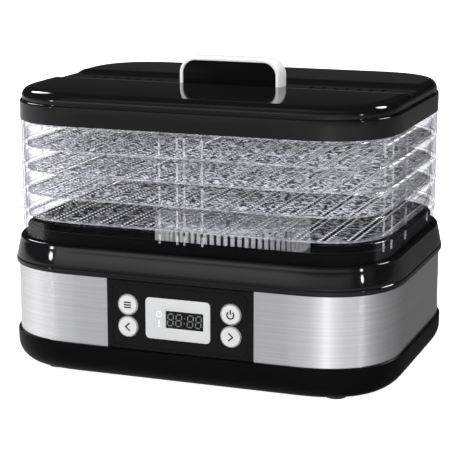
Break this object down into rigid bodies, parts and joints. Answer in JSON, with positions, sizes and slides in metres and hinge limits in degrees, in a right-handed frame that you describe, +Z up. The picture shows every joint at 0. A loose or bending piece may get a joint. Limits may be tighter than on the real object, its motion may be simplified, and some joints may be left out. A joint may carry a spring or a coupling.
{
  "type": "food dehydrator",
  "caption": "Tabletop food dehydrator with a fan and heater in the base, clear stacking mesh trays, a push-button panel with a display, and a lift-off lid with a bridge handle.",
  "frame": {"origin": "centre of the base outline, on the surface that the feet stand on", "axes": "+Z up, -Y towards the control panel, +X to the right as seen from the front"},
  "size_m": [0.3346, 0.2506, 0.2542],
  "materials": {
    "black_gloss": "glossy moulded black plastic",
    "black_satin": "satin moulded black plastic",
    "brushed_steel": "horizontally brushed stainless steel",
    "white_gloss": "glossy white plastic",
    "light_grey": "light grey satin plastic",
    "clear_plastic": "clear moulded polycarbonate",
    "smoked_window": "smoked display lens",
    "rubber": "soft rubber",
    "zinc_steel": "plain zinc plated steel",
    "circuit_board": "green solder mask",
    "component_black": "moulded component bodies",
    "component_blue": "sleeved capacitor and terminal blocks",
    "heater_wire": "resistance wire",
    "mica": "mica sheet"
  },
  "bodies": {
    "base": {"bottom_pan": "black_satin", "rubber_feet": "rubber", "base_screws": "zinc_steel", "steel_band": "brushed_steel", "upper_housing": "black_gloss", "cord_gland": "rubber", "control_panel": "black_gloss", "button_bezels": "light_grey", "display_frame": "light_grey", "display_window": "smoked_window", "display_module": "component_black", "control_board": "circuit_board", "board_screws": "zinc_steel", "tact_switches": "component_black", "power_board": "circuit_board", "relay": "component_blue", "transformer": "zinc_steel", "filter_capacitor": "component_blue", "mains_terminal": "component_blue", "air_duct": "zinc_steel", "motor_bracket": "zinc_steel", "bracket_screws": "zinc_steel", "fan_motor": "zinc_steel", "heater_frame": "mica", "heater_coils": "heater_wire", "thermal_fuse": "white_gloss", "temperature_sensor": "black_satin", "fan_cover": "white_gloss"},
    "fan": {"motor_shaft": "zinc_steel", "fan_impeller": "black_satin", "fan_clip": "zinc_steel"},
    "lid": {"lid_shell": "black_gloss", "handle_band": "white_gloss", "handle_core": "black_satin", "handle_screws": "zinc_steel"},
    "tray_1": {"tray_1_frame": "clear_plastic", "tray_1_mesh": "clear_plastic"},
    "tray_2": {"tray_2_frame": "clear_plastic", "tray_2_mesh": "clear_plastic"},
    "tray_3": {"tray_3_frame": "clear_plastic", "tray_3_mesh": "clear_plastic"},
    "tray_4": {"tray_4_frame": "clear_plastic", "tray_4_mesh": "clear_plastic"},
    "tray_5": {"tray_5_frame": "clear_plastic", "tray_5_mesh": "clear_plastic"},
    "menu_button": {"menu_button": "white_gloss"},
    "power_button": {"power_button": "white_gloss"},
    "left_arrow_button": {"left_arrow_button": "white_gloss"},
    "right_arrow_button": {"right_arrow_button": "white_gloss"}
  },
  "joints": [
    {"name": "tray_1_lift", "type": "slide", "parent": "base", "child": "tray_1", "axis": [0, 0, 1], "range_m": [0, 0.06]},
    {"name": "tray_2_lift", "type": "slide", "parent": "tray_1", "child": "tray_2", "axis": [0, 0, 1], "range_m": [0, 0.06]},
    {"name": "tray_3_lift", "type": "slide", "parent": "tray_2", "child": "tray_3", "axis": [0, 0, 1], "range_m": [0, 0.06]},
    {"name": "tray_4_lift", "type": "slide", "parent": "tray_3", "child": "tray_4", "axis": [0, 0, 1], "range_m": [0, 0.06]},
    {"name": "tray_5_lift", "type": "slide", "parent": "tray_4", "child": "tray_5", "axis": [0, 0, 1], "range_m": [0, 0.06]},
    {"name": "lid_lift", "type": "slide", "parent": "tray_5", "child": "lid", "axis": [0, 0, 1], "range_m": [0, 0.08]},
    {"name": "menu_button_press", "type": "slide", "parent": "base", "child": "menu_button", "axis": [0, 1, 0], "range_m": [0, 0.0012], "stiffness_N_per_m": 400},
    {"name": "power_button_press", "type": "slide", "parent": "base", "child": "power_button", "axis": [0, 1, 0], "range_m": [0, 0.0012], "stiffness_N_per_m": 400},
    {"name": "left_arrow_button_press", "type": "slide", "parent": "base", "child": "left_arrow_button", "axis": [0, 1, 0], "range_m": [0, 0.0012], "stiffness_N_per_m": 400},
    {"name": "right_arrow_button_press", "type": "slide", "parent": "base", "child": "right_arrow_button", "axis": [0, 1, 0], "range_m": [0, 0.0012], "stiffness_N_per_m": 400},
    {"name": "fan_spin", "type": "hinge", "parent": "base", "child": "fan", "pos_m": [0, 0, 0.0577], "axis": [0, 0, 1], "continuous": true}
  ]
}
